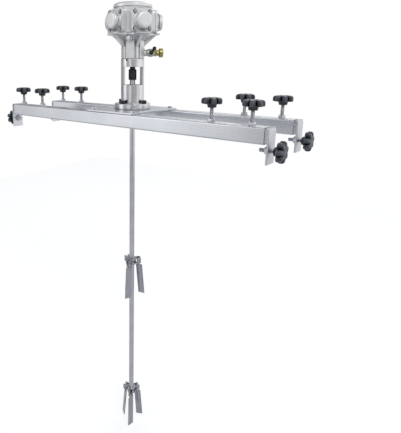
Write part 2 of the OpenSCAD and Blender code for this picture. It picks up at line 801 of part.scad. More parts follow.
// Ball valve body along the pipe, with the stem's boss on one side
// The ball goes in from the outer end, which the brass socket closes
module valve_body() {
    body_r = valve_d / 2;
    color(steel) outward(valve_turn, valve_r0, valve_height) difference() {
        union() {
            rotate_extrude() polygon([
                [0, 0], [body_r - 3, 0], [body_r - 2, 1], [body_r - 2, 5], [body_r, 7],
                [body_r, valve_l - 8], [body_r - 2, valve_l - 6], [body_r - 2, valve_l - 1],
                [body_r - 3, valve_l], [0, valve_l]
            ]);
            translate([0, 0, valve_l / 2]) rotate([90, 0, 0]) cylinder(r = 7, h = body_r + 2);
        }
        translate([0, 0, -eps]) cylinder(r = pipe_r + seat_gap, h = pipe_in + eps);
        cylinder(r = pipe_bore_r, h = valve_l);
        translate([0, 0, valve_l / 2]) {
            sphere(r = ball_r + running_gap);
            cylinder(r = ball_r + running_gap, h = valve_l);
            rotate([90, 0, 0]) cylinder(r = stem_r + running_gap, h = body_r + 3);
        }
        translate([0, 0, valve_l - pipe_in - 1]) cylinder(r = socket_r + seat_gap, h = 8);
    }
}

// Lever, stem and ball: the ball's bore lies along the pipe at rest
module valve_lever() {
    lever_y = valve_d / 2 + 2.4;
    color(knob_black) outward(valve_turn, valve_r0, valve_height)
        translate([0, 0, valve_l / 2]) difference() {
            union() {
                sphere(r = ball_r);
                rotate([90, 0, 0]) {
                    cylinder(r = stem_r, h = lever_y + 1);
                    translate([0, 0, lever_y]) cylinder(r = 6.5, h = lever_t);
                    translate([0, 0, lever_y + lever_t]) hexagon(7, 2.4, 0.6);
                    translate([0, 0, lever_y]) rotate([0, 0, lever_lift]) {
                        linear_extrude(lever_t) translate([0, -4]) square([lever_l, 8]);
                        translate([lever_l, 0, -1.5]) cylinder(r = 5.5, h = 8);
                    }
                }
            }
            translate([0, 0, -valve_l]) cylinder(r = pipe_bore_r, h = 2 * valve_l);
        }
}

// Brass quick-connect socket for the air line
module air_plug() {
    collar_r = plug_collar_d / 2;
    neck_r = collar_r - 4;
    color(brass) outward(valve_turn, valve_r0 + valve_l, valve_height) difference() {
        union() {
            translate([0, 0, -pipe_in]) cylinder(r = socket_r, h = pipe_in + 1);
            hexagon(2 * neck_r - 1, 6);
            rotate_extrude() polygon([
                [0, 5], [neck_r - 2, 5], [neck_r - 1, 6], [neck_r - 1, 13], [neck_r, 14],
                [neck_r, plug_l - 13], [collar_r, plug_l - 11], [collar_r, plug_l - 1.5],
                [collar_r - 1.5, plug_l], [0, plug_l]
            ]);
        }
        translate([0, 0, plug_l - plug_bore_l]) cylinder(d = plug_bore_d, h = plug_bore_l + eps);
        translate([0, 0, -pipe_in - eps]) cylinder(r = pipe_bore_r, h = plug_l);
    }
}

// ---- shaft and coupling ----

module shaft_coupling() {
    color(black_steel) difference() {
        rotate_extrude() polygon([
            [0, coupling_bottom], [coupling_d / 2 - 1, coupling_bottom],
            [coupling_d / 2, coupling_bottom + 1], [coupling_d / 2, coupling_step - 2],
            [coupling_d / 2 - 2, coupling_step], [coupling_d / 2 - 4, coupling_step],
            [coupling_d / 2 - 4, coupling_top - 1], [coupling_d / 2 - 5, coupling_top],
            [0, coupling_top]
        ]);
        translate([0, 0, coupling_bottom - eps])
            cylinder(r = shaft_r + seat_gap, h = coupling_joint - coupling_bottom + eps);
        translate([0, 0, coupling_joint - eps])
            cylinder(r = motor_shaft_d / 2 + seat_gap, h = coupling_top - coupling_joint + 2 * eps);
        for (z = coupling_screw_z) outward(coupling_turn, shaft_r - 6, z)
            cylinder(r = coupling_screw_r + seat_gap, h = coupling_d);
    }
}

// Set screws of the coupling and of the two hubs
module rotor_screws() {
    shaft_radii = [shaft_r, motor_shaft_d / 2];
    color(black_steel) {
        for (i = [0, 1])
            outward(coupling_turn, shaft_radii[i] + 2 * seat_gap, coupling_screw_z[i])
                set_screw(coupling_d / 2 - shaft_radii[i] - 0.6, coupling_screw_r);
        for (h = hub_places)
            outward(h[1] + blade_step / 2, shaft_r + 2 * seat_gap, h[0] - hub_h / 2)
                set_screw(hub_wall + 1.5, hub_screw_r);
    }
}

module agitator_shaft() {
    color(bright_steel) translate([0, 0, shaft_bottom])
        chamfered_rod(shaft_r, coupling_joint - 0.3 - shaft_bottom, 1);
}

// ---- impellers ----

// Side view of a hinge ear: an arm at the top and a leg that holds the pin
module ear_outline() {
    arm_h = 6;
    translate([hub_r - 2, -arm_h]) square([ear_outer_r - hub_r + 2 - 3, arm_h]);
    translate([ear_outer_r - 3, -3]) circle(3);
    translate([hinge_r - ear_leg_r, -hinge_drop])
        square([ear_outer_r - hinge_r + ear_leg_r, hinge_drop - 3]);
    translate([hinge_r, -hinge_drop]) circle(ear_leg_r);
    translate([hinge_r, -hinge_drop]) square([ear_outer_r - hinge_r, 4]);
}

module impeller_hub(place) {
    translate([0, 0, place[0]]) difference() {
        union() {
            translate([0, 0, -hub_h]) chamfered_rod(hub_r, hub_h, 1);
            for (i = [0:blade_count - 1]) rotate([0, 0, place[1] + i * blade_step])
                for (s = [-1, 1])
                    translate([0, s * (ear_gap + ear_t / 2) + ear_t / 2, 0]) rotate([90, 0, 0])
                        linear_extrude(ear_t) ear_outline();
        }
        translate([0, 0, -hub_h - eps]) cylinder(r = shaft_r + seat_gap, h = hub_h + 2 * eps);
        for (i = [0:blade_count - 1]) rotate([0, 0, place[1] + i * blade_step])
            translate([hinge_r, 0, -hinge_drop]) rotate([90, 0, 0])
                cylinder(r = hinge_pin_d / 2 + seat_gap, h = 40, center = true);
        outward(place[1] + blade_step / 2, 0, -hub_h / 2)
            cylinder(r = hub_screw_r + seat_gap, h = hub_r + 5);
    }
}

module impeller_hubs() {
    color(steel) for (h = hub_places) impeller_hub(h);
}

module hinge_pins() {
    pin_l = 2 * (ear_gap + ear_t) + 2;
    color(bright_steel) for (h = hub_places, i = [0:blade_count - 1])
        rotate([0, 0, h[1] + i * blade_step])
            translate([hinge_r, 0, h[0] - hinge_drop]) rotate([90, 0, 0])
                translate([0, 0, -pin_l / 2]) chamfered_rod(hinge_pin_d / 2, pin_l, 0.6);
}

// Side view of a blade's root: knuckle, tab, and the heel that meets the hub's collar as a stop
module blade_root_outline() {
    tab_l = 16;
    tab_t = 4;
    difference() {
        union() {
            circle(ear_leg_r - 0.5);
            translate([-heel_l, -heel_h - 0.5]) square([heel_l, heel_h]);
            rotate(blade_lean) translate([-tab_t / 2, -tab_l]) square([tab_t, tab_l]);
        }
        circle(hinge_pin_d / 2 + running_gap);
    }
}

// A hinged blade, folded down
module blade(place, i) {
    plate_start = 9;
    color(steel) rotate([0, 0, place[1] + i * blade_step])
        translate([hinge_r, 0, place[0] - hinge_drop]) {
            translate([0, knuckle_w / 2, 0]) rotate([90, 0, 0])
                linear_extrude(knuckle_w) blade_root_outline();
            rotate([0, -blade_lean, 0]) translate([0, 0, -plate_start - blade_l])
                rotate([0, 0, -blade_pitch])
                    translate([-blade_w / 2, -blade_t / 2, 0]) cube([blade_w, blade_t, blade_l]);
        }
}

// ---- output ----

front_beam();
rear_beam();
weld_nuts();
mounting_plate();
plate_bolts();
coupling_housing();
housing_screws();
motor_neck();
neck_plug();
crankcase();
cylinder_covers();
top_cover();
motor_screws();
pistons();
main_bearings();
valve_nipple();
valve_body();
valve_lever();
air_plug();
crankshaft();
shaft_coupling();
rotor_screws();
agitator_shaft();
impeller_hubs();
hinge_pins();
blade(hub_places[0], 0);  // upper_blade_1
blade(hub_places[0], 1);  // upper_blade_2
blade(hub_places[0], 2);  // upper_blade_3
blade(hub_places[1], 0);  // lower_blade_1
blade(hub_places[1], 1);  // lower_blade_2
blade(hub_places[1], 2);  // lower_blade_3
arm(arm_places[0]);  // arm_front_left
arm(arm_places[1]);  // arm_front_right
arm(arm_places[2]);  // arm_rear_left
arm(arm_places[3]);  // arm_rear_right
lock_stud(1);  // lock_stud_1
lock_stud(2);  // lock_stud_2
lock_stud(3);  // lock_stud_3
lock_stud(4);  // lock_stud_4
lock_stud(5);  // lock_stud_5
lock_stud(6);  // lock_stud_6
lock_stud(7);  // lock_stud_7
lock_stud(8);  // lock_stud_8
lock_knob(1);  // lock_knob_1
lock_knob(2);  // lock_knob_2
lock_knob(3);  // lock_knob_3
lock_knob(4);  // lock_knob_4
lock_knob(5);  // lock_knob_5
lock_knob(6);  // lock_knob_6
lock_knob(7);  // lock_knob_7
lock_knob(8);  // lock_knob_8
clamp_stud(1);  // clamp_stud_1
clamp_stud(2);  // clamp_stud_2
clamp_stud(3);  // clamp_stud_3
clamp_stud(4);  // clamp_stud_4
clamp_knob(1);  // clamp_knob_1
clamp_knob(2);  // clamp_knob_2
clamp_knob(3);  // clamp_knob_3
clamp_knob(4);  // clamp_knob_4
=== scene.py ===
# Tank agitator: finishes, softened castings, threads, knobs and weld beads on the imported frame.
import json
import math

import bmesh
import bpy
from mathutils import Matrix, Vector


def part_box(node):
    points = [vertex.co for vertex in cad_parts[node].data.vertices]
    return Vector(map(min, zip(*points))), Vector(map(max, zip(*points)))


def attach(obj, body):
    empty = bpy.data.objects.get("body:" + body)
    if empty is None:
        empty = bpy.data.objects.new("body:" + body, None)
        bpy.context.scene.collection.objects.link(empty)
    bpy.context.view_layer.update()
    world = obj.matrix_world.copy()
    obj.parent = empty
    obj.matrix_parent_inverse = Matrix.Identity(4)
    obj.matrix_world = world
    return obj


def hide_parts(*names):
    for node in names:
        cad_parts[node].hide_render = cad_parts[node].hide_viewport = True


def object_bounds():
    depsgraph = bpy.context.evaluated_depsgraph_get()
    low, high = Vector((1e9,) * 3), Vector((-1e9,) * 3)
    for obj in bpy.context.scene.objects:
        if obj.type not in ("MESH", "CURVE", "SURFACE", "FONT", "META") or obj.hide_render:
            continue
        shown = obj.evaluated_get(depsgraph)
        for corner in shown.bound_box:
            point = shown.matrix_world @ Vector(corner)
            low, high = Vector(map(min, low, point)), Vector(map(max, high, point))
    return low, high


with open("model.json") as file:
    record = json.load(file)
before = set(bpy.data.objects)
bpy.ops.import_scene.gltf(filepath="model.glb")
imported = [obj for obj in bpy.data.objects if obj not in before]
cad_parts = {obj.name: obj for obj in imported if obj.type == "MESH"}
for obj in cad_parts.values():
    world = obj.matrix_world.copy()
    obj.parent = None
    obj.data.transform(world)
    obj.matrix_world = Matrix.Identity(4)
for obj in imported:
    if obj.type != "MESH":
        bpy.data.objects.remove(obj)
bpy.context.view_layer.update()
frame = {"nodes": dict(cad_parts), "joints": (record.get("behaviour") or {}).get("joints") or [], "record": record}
nodes = frame["nodes"]
bodyOf = {n: b for b, members in frame["record"]["behaviour"]["bodies"].items() for n in members}
hinges = {j["child"]: j for j in frame["joints"] if j["type"] == "hinge"}
slotOf = {s["node"]: s["material_slot"] for s in frame["record"]["subparts"]}
print("frame:", len(nodes), "nodes")

# ---- camera ----

cameraSetup = {
    "lens": 34.07,        # millimetres, on a 36 mm sensor
    "turn": 40.72,        # degrees away from straight onto the beams
    "tilt": 13.35,        # degrees below the horizon
    "distance": 1.326,
    "aside": -0.0234,
    "height": 0.1739,
    "shiftX": 0.174,
    "shiftY": -0.12,
}


def makeCamera(setup):
    turn, tilt = math.radians(setup["turn"]), math.radians(setup["tilt"])
    ahead = Vector((-math.sin(turn), math.cos(turn), 0))
    right = Vector((math.cos(turn), math.sin(turn), 0))
    data = bpy.data.cameras.new("camera")
    data.sensor_width = 36
    data.lens = setup["lens"]
    data.shift_x, data.shift_y = setup["shiftX"], setup["shiftY"]
    data.clip_start, data.clip_end = 0.01, 50
    camera = bpy.data.objects.new("camera", data)
    bpy.context.scene.collection.objects.link(camera)
    camera.location = right * setup["aside"] - ahead * setup["distance"]
    camera.location.z = setup["height"]
    look = ahead * math.cos(tilt) - Vector((0, 0, math.sin(tilt)))
    camera.rotation_euler = look.to_track_quat("-Z", "Y").to_euler()
    bpy.context.scene.camera = camera


makeCamera(cameraSetup)
print("camera placed")

# ---- finishes ----


def add(tree, kind, inputs=None, **settings):
    node = tree.nodes.new(kind)
    for key, value in settings.items():
        setattr(node, key, value)
    for key, value in (inputs or {}).items():
        if isinstance(value, bpy.types.NodeSocket):
            tree.links.new(value, node.inputs[key])
        else:
            node.inputs[key].default_value = value
    return node


def mathsIn(tree):
    return lambda operation, *values: add(
        tree, "ShaderNodeMath", dict(enumerate(values)), operation=operation).outputs[0]


# grain is the noise's size along X, Y and Z in cycles per metre; paintedShade is the share and the reach in metres
# of the shade painted into corners
metalFinishes = {
    "tube_steel": {
        "light": (0.71, 0.73, 0.77), "dark": (0.61, 0.63, 0.67), "metallic": 1.0,
        "rough": (0.22, 0.34), "grain": (9, 520, 520), "patch": 7, "bump": 0.05, "paintedShade": (0.35, 0.006),
    },
    "bright_steel": {
        "light": (0.68, 0.69, 0.73), "dark": (0.56, 0.57, 0.62), "metallic": 1.0,
        "rough": (0.10, 0.17), "grain": (60, 60, 1500), "patch": 20, "bump": 0.04, "paintedShade": (0.45, 0.004),
    },
    "stainless_sheet": {
        "light": (0.54, 0.55, 0.60), "dark": (0.42, 0.43, 0.48), "metallic": 1.0,
        "rough": (0.09, 0.17), "grain": (700, 700, 25), "patch": 25, "bump": 0.05, "paintedShade": (0.5, 0.006),
    },
    "plated_fitting": {
        "light": (0.66, 0.65, 0.58), "dark": (0.52, 0.51, 0.44), "metallic": 1.0,
        "rough": (0.24, 0.38), "grain": (300, 300, 300), "patch": 60, "bump": 0.05, "paintedShade": (0.55, 0.005),
    },
    "cast_aluminium": {
        "light": (0.88, 0.885, 0.90), "dark": (0.74, 0.745, 0.76), "metallic": 0.85,
        "rough": (0.36, 0.52), "grain": (900, 900, 900), "patch": 14, "bump": 0.16, "paintedShade": (0.55, 0.012),
    },
    "machined_aluminium": {
        "light": (0.78, 0.78, 0.81), "dark": (0.68, 0.68, 0.71), "metallic": 1.0,
        "rough": (0.16, 0.26), "grain": (25, 25, 1900), "patch": 16, "bump": 0.05, "paintedShade": (0.5, 0.01),
    },
    "black_steel": {
        "light": (0.045, 0.047, 0.055), "dark": (0.022, 0.023, 0.028), "metallic": 0.55,
        "rough": (0.30, 0.46), "grain": (600, 600, 600), "patch": 80, "bump": 0.08, "paintedShade": (0.4, 0.004),
    },
    "brass": {
        "light": (0.50, 0.45, 0.18), "dark": (0.33, 0.29, 0.10), "metallic": 1.0,
        "rough": (0.22, 0.36), "grain": (400, 400, 400), "patch": 70, "bump": 0.05, "paintedShade": (0.6, 0.005),
    },
    "knob_plastic": {
        "light": (0.013, 0.016, 0.024), "dark": (0.005, 0.006, 0.009), "metallic": 0.0,
        "rough": (0.26, 0.38), "grain": (1300, 1300, 1300), "patch": 90, "bump": 0.10, "paintedShade": (0.6, 0.008),
        # paintedHighlight is the lighter bluish colour of the highlight painted on the lobe crests
        "coat": 0.30, "paintedHighlight": (0.050, 0.061, 0.088),
    },
}


# shared by all finishes; grainDepth is in metres
surface = {
    "coatRough": 0.18, "grainShare": 0.35, "grainDetail": 3.0, "patchDetail": 4.0, "patchRough": 0.6,
    "toneFrom": 0.36, "toneTo": 0.64, "roughFrom": 0.3, "roughTo": 0.7,
    # the painted shade in corners: occlusion samples, and the occlusion range that darkens the colour
    "paintedShadeSamples": 6, "paintedShadeFrom": 0.35, "paintedShadeTo": 0.95, "grainDepth": 0.0004,
}


def makeFinish(name, finish):
    material = bpy.data.materials.new(name)
    material.use_nodes = True
    tree = material.node_tree
    shader = tree.nodes["Principled BSDF"]
    shader.inputs["Metallic"].default_value = finish["metallic"]
    shader.inputs["Coat Weight"].default_value = finish.get("coat", 0.0)
    shader.inputs["Coat Roughness"].default_value = surface["coatRough"]
    place = add(tree, "ShaderNodeTexCoord")
    stretch = add(tree, "ShaderNodeMapping", {"Vector": place.outputs["Object"], "Scale": finish["grain"]})
    grain = add(tree, "ShaderNodeTexNoise", {
        "Vector": stretch.outputs[0], "Scale": 1.0, "Detail": surface["grainDetail"]})
    patches = add(tree, "ShaderNodeTexNoise", {
        "Vector": place.outputs["Object"], "Scale": float(finish["patch"]), "Detail": surface["patchDetail"],
        "Roughness": surface["patchRough"]})
    share = surface["grainShare"]
    blend = add(tree, "ShaderNodeMath", {0: grain.outputs[0], 1: share}, operation="MULTIPLY")
    blend = add(tree, "ShaderNodeMath", {0: patches.outputs[0], 1: 1 - share, 2: blend.outputs[0]},
                operation="MULTIPLY_ADD")
    tone = add(tree, "ShaderNodeMapRange", {
        "Value": blend.outputs[0], "From Min": surface["toneFrom"], "From Max": surface["toneTo"]})
    colour = add(tree, "ShaderNodeMix", {
        0: tone.outputs[0], 6: (*finish["dark"], 1), 7: (*finish["light"], 1)}, data_type="RGBA")
    colour = colour.outputs[2]
    # a painted highlight: the knobs' lobe crests turn a lighter bluish colour, by the lobe share each vertex
    # carries
    if "paintedHighlight" in finish:
        paintedHighlight = add(tree, "ShaderNodeAttribute", attribute_name="lobe")
        colour = add(tree, "ShaderNodeMix", {0: paintedHighlight.outputs["Fac"], 6: colour, 7: (*finish["paintedHighlight"], 1)},
                     data_type="RGBA").outputs[2]
    # painted shade: the base colour is darkened in corners and recesses by ambient occlusion, by up to the share
    # within the reach
    paintedShade, reach = finish["paintedShade"]
    corners = add(tree, "ShaderNodeAmbientOcclusion", {"Distance": reach}, samples=surface["paintedShadeSamples"])
    shadeFactor = add(tree, "ShaderNodeMapRange", {
        "Value": corners.outputs["AO"], "From Min": surface["paintedShadeFrom"], "From Max": surface["paintedShadeTo"],
        "To Min": 1 - paintedShade, "To Max": 1.0})
    colour = add(tree, "ShaderNodeMix", {0: 1.0, 6: colour, 7: shadeFactor.outputs[0]},
                 data_type="RGBA", blend_type="MULTIPLY").outputs[2]
    rough = add(tree, "ShaderNodeMapRange", {
        "Value": grain.outputs[0], "From Min": surface["roughFrom"], "From Max": surface["roughTo"],
        "To Min": finish["rough"][0], "To Max": finish["rough"][1]})
    bump = add(tree, "ShaderNodeBump", {
        "Height": grain.outputs[0], "Strength": finish["bump"], "Distance": surface["grainDepth"]})
    tree.links.new(colour, shader.inputs["Base Color"])
    tree.links.new(rough.outputs[0], shader.inputs["Roughness"])
    tree.links.new(bump.outputs[0], shader.inputs["Normal"])
    return material


# the plate's bolts are left unblackened
plainer = {"plate_bolts": "bright_steel"}
finishes = {name: makeFinish(name, finish) for name, finish in metalFinishes.items()}
for name, node in nodes.items():
    node.data.materials.clear()
    node.data.materials.append(finishes[plainer.get(name, slotOf[name])])
print("finishes:", len(finishes))


def seat(piece, node):
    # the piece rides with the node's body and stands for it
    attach(piece, bodyOf[node])
    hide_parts(node)


def meshObject(name, mesh, finish):
    piece = bpy.data.objects.new(name, mesh)
    bpy.context.scene.collection.objects.link(piece)
    if not mesh.materials:
        mesh.materials.append(finishes[finish])
    return piece


def smooth(mesh, degrees):
    mesh.polygons.foreach_set("use_smooth", [True] * len(mesh.polygons))
    mesh.set_sharp_from_angle(angle=math.radians(degrees))


# ---- softened metal parts ----

# bevel widths in metres for the parts whose edges catch the light
softEdges = {
    "coupling_housing": 0.0007,
    "motor_neck": 0.0016,
    "crankcase": 0.0014,
    "cylinder_covers": 0.0009,
    "top_cover": 0.0008,
    "mounting_plate": 0.0006,
    "impeller_hubs": 0.0005,
    "valve_body": 0.0006,
    "valve_lever": 0.0005,
    "air_plug": 0.0004,
    "weld_nuts": 0.0004,
    "shaft_coupling": 0.0004,
}
softEdges.update({n: 0.0006 for n in nodes if n.startswith("arm_")})
softEdges.update({n: 0.0005 for n in nodes if "_blade_" in n})

# distances in metres, angles in degrees; edges sharper than bevelFrom are bevelled
softening = {
    "merge": 2e-6, "sliver": 1e-5, "flatWithin": 0.6, "segments": 2, "bevelFrom": 28, "smoothTo": 24,
    "flatWeight": 90,
}
# the front window is wider than the rear one; the record's box for it stops short of each end by the inset
frontWindow = {
    "node": "coupling_housing", "opening": "coupling_window_front", "left": 0.0285, "right": 0.0315,
    "from": 0.012, "to": 0.060, "inset": 0.002,
}


def windowCutter(cut):
    box = next(o for o in frame["record"]["physics"]["openings"] if o["name"] == cut["opening"])["box_m"]
    low, high = Vector(box[0]), Vector(box[1])
    outwards = (low + high) / 2
    shape = bmesh.new()
    bmesh.ops.create_cube(shape, size=1.0)
    size = Matrix.Diagonal((
        cut["to"] - cut["from"], cut["left"] + cut["right"], high.z - low.z + 2 * cut["inset"], 1))
    centre = Matrix.Translation((
        (cut["to"] + cut["from"]) / 2, (cut["right"] - cut["left"]) / 2, outwards.z))
    turn = Matrix.Rotation(math.atan2(outwards.y, outwards.x), 4, "Z")
    bmesh.ops.transform(shape, verts=shape.verts, matrix=turn @ centre @ size)
    mesh = bpy.data.meshes.new("windowCutter")
    shape.to_mesh(mesh)
    shape.free()
    return meshObject("windowCutter", mesh, "machined_aluminium")


def baked(piece):
    depsgraph = bpy.context.evaluated_depsgraph_get()
    mesh = bpy.data.meshes.new_from_object(piece.evaluated_get(depsgraph), depsgraph=depsgraph)
    piece.modifiers.clear()
    return mesh


def soften(node, width):
    mesh = nodes[node].data.copy()
    shape = bmesh.new()
    shape.from_mesh(mesh)
    bmesh.ops.remove_doubles(shape, verts=shape.verts, dist=softening["merge"])
    bmesh.ops.dissolve_degenerate(shape, edges=shape.edges, dist=softening["sliver"])
    bmesh.ops.dissolve_limit(
        shape, angle_limit=math.radians(softening["flatWithin"]), verts=shape.verts, edges=shape.edges)
    shape.to_mesh(mesh)
    shape.free()
    piece = meshObject(node + "_soft", mesh, slotOf[node])
    cutter = None
    if node == frontWindow["node"]:
        cutter = windowCutter(frontWindow)
        cut = piece.modifiers.new("window", "BOOLEAN")
        cut.operation, cut.solver, cut.object = "DIFFERENCE", "EXACT", cutter
    bevel = piece.modifiers.new("bevel", "BEVEL")
    bevel.width = width
    bevel.segments = softening["segments"]
    bevel.limit_method = "ANGLE"
    bevel.angle_limit = math.radians(softening["bevelFrom"])
    bevel.use_clamp_overlap = False
    piece.data = baked(piece)
    if cutter:
        bpy.data.objects.remove(cutter)
    smooth(piece.data, softening["smoothTo"])
    # faces of five or more corners are split, and flat faces keep their own direction up to the softened edge
    split = piece.modifiers.new("split", "TRIANGULATE")
    split.min_vertices = 5
    flatten = piece.modifiers.new("flatten", "WEIGHTED_NORMAL")
    flatten.keep_sharp = True
    flatten.weight = softening["flatWeight"]
    piece.data = baked(piece)
    seat(piece, node)


for node, width in softEdges.items():
    soften(node, width)
print("softened parts:", len(softEdges))

# ---- threaded studs ----

thread = {"pitch": 0.0015, "depth": 0.0008, "sides": 20, "rowsPerTurn": 5, "chamfer": 0.001, "smoothTo": 50}


def socketOf(tree, name):
    return next(item.identifier for item in tree.interface.items_tree if item.name == name)


def openTree(tree, **inputs):
    for label, kind in inputs.items():
        tree.interface.new_socket(label, in_out="INPUT", socket_type="NodeSocket" + kind)
    tree.interface.new_socket("Geometry", in_out="OUTPUT", socket_type="NodeSocketGeometry")
    return tree.nodes.new("NodeGroupInput").outputs


def closeTree(tree, shape, finish):
    whole = add(tree, "GeometryNodeRealizeInstances", {0: shape})
    painted = add(tree, "GeometryNodeSetMaterial", {"Geometry": whole.outputs[0], "Material": finish})
    tree.links.new(painted.outputs[0], tree.nodes.new("NodeGroupOutput").inputs[0])
    return tree


def buildThreadTree():
    # a cylinder whose radius falls with the distance from a helix
    tree = bpy.data.node_groups.new("threadedRod", "GeometryNodeTree")
    given = openTree(tree, Length="Float", Radius="Float", Pitch="Float", Depth="Float", Rows="Int",
                     Sides="Int", Chamfer="Float", Finish="Material")
    maths = mathsIn(tree)
    rod = add(tree, "GeometryNodeMeshCylinder", {
        "Vertices": given["Sides"], "Side Segments": given["Rows"], "Radius": given["Radius"],
        "Depth": given["Length"]})
    where = add(tree, "ShaderNodeSeparateXYZ", {0: add(tree, "GeometryNodeInputPosition").outputs[0]})
    around = maths("DIVIDE", maths("ARCTAN2", where.outputs[1], where.outputs[0]), 2 * math.pi)
    along = maths("DIVIDE", where.outputs[2], given["Pitch"])
    phase = maths("FRACT", maths("ADD", maths("SUBTRACT", along, around), 1000.0))
    valley = maths("ABSOLUTE", maths("SUBTRACT", maths("MULTIPLY", phase, 2.0), 1.0))
    cut = maths("MULTIPLY", valley, given["Depth"])
    toEnd = maths("SUBTRACT", maths("DIVIDE", given["Length"], 2.0), maths("ABSOLUTE", where.outputs[2]))
    trim = maths("MAXIMUM", maths("SUBTRACT", given["Chamfer"], toEnd), 0.0)
    radius = maths("SUBTRACT", given["Radius"], maths("MAXIMUM", cut, trim))
    scale = maths("DIVIDE", radius, given["Radius"])
    moved = add(tree, "ShaderNodeCombineXYZ", {
        0: maths("MULTIPLY", where.outputs[0], scale), 1: maths("MULTIPLY", where.outputs[1], scale),
        2: where.outputs[2]})
    shaped = add(tree, "GeometryNodeSetPosition", {
        "Geometry": rod.outputs["Mesh"], "Position": moved.outputs[0]})
    return closeTree(tree, shaped.outputs[0], given["Finish"])


def growTree(name, tree, values, mesh=None):
    # runs a node tree once and returns its result as a plain mesh
    holder = bpy.data.objects.new(name, mesh or bpy.data.meshes.new(name))
    bpy.context.scene.collection.objects.link(holder)
    modifier = holder.modifiers.new("nodes", "NODES")
    modifier.node_group = tree
    for label, value in values.items():
        modifier[socketOf(tree, label)] = value
    result = baked(holder)
    bpy.data.objects.remove(holder)
    return result


def alongX(side):
    return Matrix.Rotation(math.radians(90 * side), 4, "Y")


threadTree = buildThreadTree()
for node in sorted(n for n in nodes if "_stud_" in n):
    low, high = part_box(node)
    size = high - low
    length = max(size)
    mesh = growTree(node, threadTree, {
        "Length": length, "Radius": min(size) / 2, "Pitch": thread["pitch"], "Depth": thread["depth"],
        "Rows": int(length / thread["pitch"] * thread["rowsPerTurn"]), "Sides": thread["sides"],
        "Chamfer": thread["chamfer"], "Finish": finishes["bright_steel"]})
    turn = alongX(1) if node.startswith("clamp") else Matrix.Identity(4)
    mesh.transform(Matrix.Translation((low + high) / 2) @ turn)
    smooth(mesh, thread["smoothTo"])
    seat(meshObject(node + "_thread", mesh, "bright_steel"), node)
print("threaded studs done")

# ---- weld beads ----

weld = {
    "bead": 0.0012, "spacing": 0.0015, "variation": 0.18, "seed": 4,
    "plateThickness": 0.005, "armSide": 0.035, "armCorner": 0.003, "nutRadius": 0.0098, "smoothTo": 60,
}


def buildWeldTree():
    # a flattened drop on every point of the path, each a little different
    tree = bpy.data.node_groups.new("weldBead", "GeometryNodeTree")
    given = openTree(tree, Path="Geometry", Bead="Float", Variation="Float", Seed="Int", Finish="Material")
    least = add(tree, "ShaderNodeMath", {0: 1.0, 1: given["Variation"]}, operation="SUBTRACT")
    most = add(tree, "ShaderNodeMath", {0: 1.0, 1: given["Variation"]}, operation="ADD")
    size = add(tree, "FunctionNodeRandomValue", {"Seed": given["Seed"]}, data_type="FLOAT")
    tree.links.new(least.outputs[0], size.inputs[2])
    tree.links.new(most.outputs[0], size.inputs[3])
    drop = add(tree, "GeometryNodeMeshUVSphere", {"Segments": 8, "Rings": 5, "Radius": given["Bead"]})
    row = add(tree, "GeometryNodeInstanceOnPoints", {
        "Points": given["Path"], "Instance": drop.outputs[0], "Scale": size.outputs[1]})
    return closeTree(tree, row.outputs[0], given["Finish"])


def ringPath(radius):
    count = round(2 * math.pi * radius / weld["spacing"])
    turns = [2 * math.pi * i / count for i in range(count)]
    return [Vector((radius * math.cos(a), radius * math.sin(a), 0)) for a in turns]


def squarePath(side, corner):
    # points along the four sides, cut short at the rounded corners
    half, reach = side / 2, side / 2 - corner
    count = round(2 * reach / weld["spacing"])
    steps = [-reach + 2 * reach * i / count for i in range(count + 1)]
    return [Matrix.Rotation(quarter * math.pi / 2, 3, "Z") @ Vector((half, step, 0))
            for quarter in range(4) for step in steps]


def weldPiece(name, paths, node):
    mesh = bpy.data.meshes.new(name)
    mesh.from_pydata([place @ point for place, points in paths for point in points], [], [])
    mesh = growTree(name, weldTree, {
        "Bead": weld["bead"], "Variation": weld["variation"], "Seed": weld["seed"],
        "Finish": finishes["tube_steel"]}, mesh)
    smooth(mesh, weld["smoothTo"])
    piece = meshObject(name, mesh, "tube_steel")
    # beads stand for no node
    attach(piece, bodyOf[node])


weldTree = buildWeldTree()
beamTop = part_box("front_beam")[1].z
weldPiece("nut_welds", [
    (Matrix.Translation((hinges[n]["pos_m"][0], hinges[n]["pos_m"][1], beamTop)), ringPath(weld["nutRadius"]))
    for n in sorted(hinges) if n.startswith("lock_knob")], "weld_nuts")
for node in sorted(n for n in nodes if n.startswith("arm_")):
    low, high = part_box(node)
    middle = (low + high) / 2
    side = 1 if middle.x > 0 else -1
    inner = (high.x if side > 0 else low.x) - side * weld["plateThickness"]
    knobs = [hinges[n]["pos_m"] for n in hinges if n.startswith("clamp_knob")]
    nut = min(knobs, key=lambda place: (Vector(place) - Vector((inner, middle.y, low.z))).length)
    weldPiece(node + "_welds", [
        (Matrix.Translation((inner, nut[1], nut[2])) @ alongX(1), ringPath(weld["nutRadius"])),
        (Matrix.Translation((inner, middle.y, beamTop / 2)) @ alongX(1),
         squarePath(weld["armSide"], weld["armCorner"]))], node)
print("weld beads done")

# ---- star knobs ----

